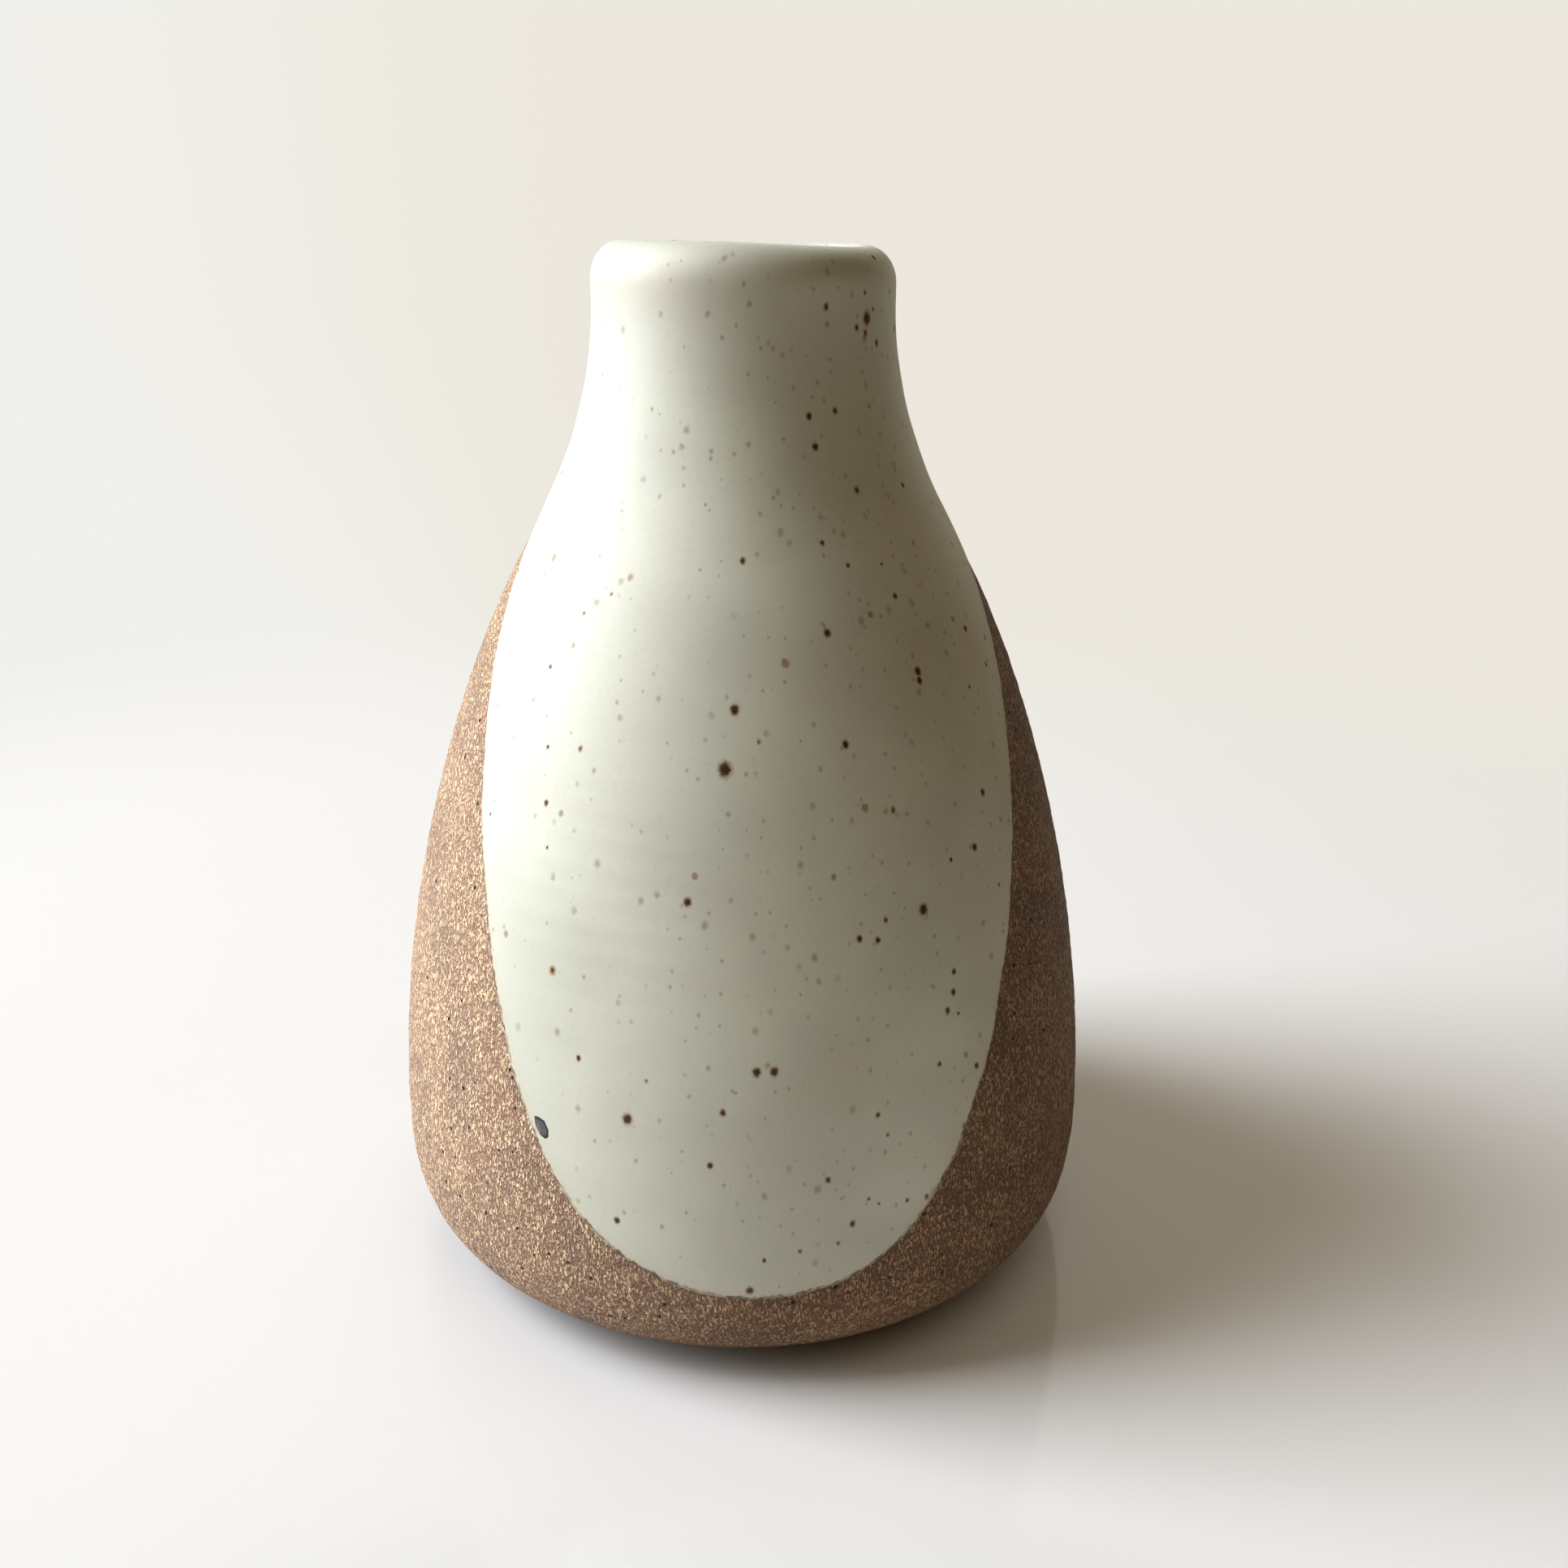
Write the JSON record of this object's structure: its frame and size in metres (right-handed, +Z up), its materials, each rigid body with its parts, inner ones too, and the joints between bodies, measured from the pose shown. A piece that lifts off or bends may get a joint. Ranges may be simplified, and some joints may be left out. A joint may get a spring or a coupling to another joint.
{
  "type": "ceramic bud vase",
  "caption": "Wheel-thrown stoneware bud vase with a pear-shaped body, a short open neck, raw clay sides and dipped satin glaze on the front and back.",
  "frame": {"origin": "centre of the flat foot, on the surface the vase stands on", "axes": "+Z up along the throwing axis, through the middle of the mouth; -Y faces the front oval of glaze, and +X is its right side as seen from the front"},
  "size_m": [0.1006, 0.1018, 0.14],
  "materials": {
    "raw_stoneware": "unglazed red-brown stoneware with light sand grains",
    "satin_glaze": "warm white satin glaze with dark iron specks",
    "lining_glaze": "the same warm white satin glaze, poured inside"
  },
  "bodies": {
    "root": {"stoneware_body": "raw_stoneware", "glaze_front": "satin_glaze", "glaze_back": "satin_glaze", "glaze_lining": "lining_glaze"}
  },
  "joints": []
}
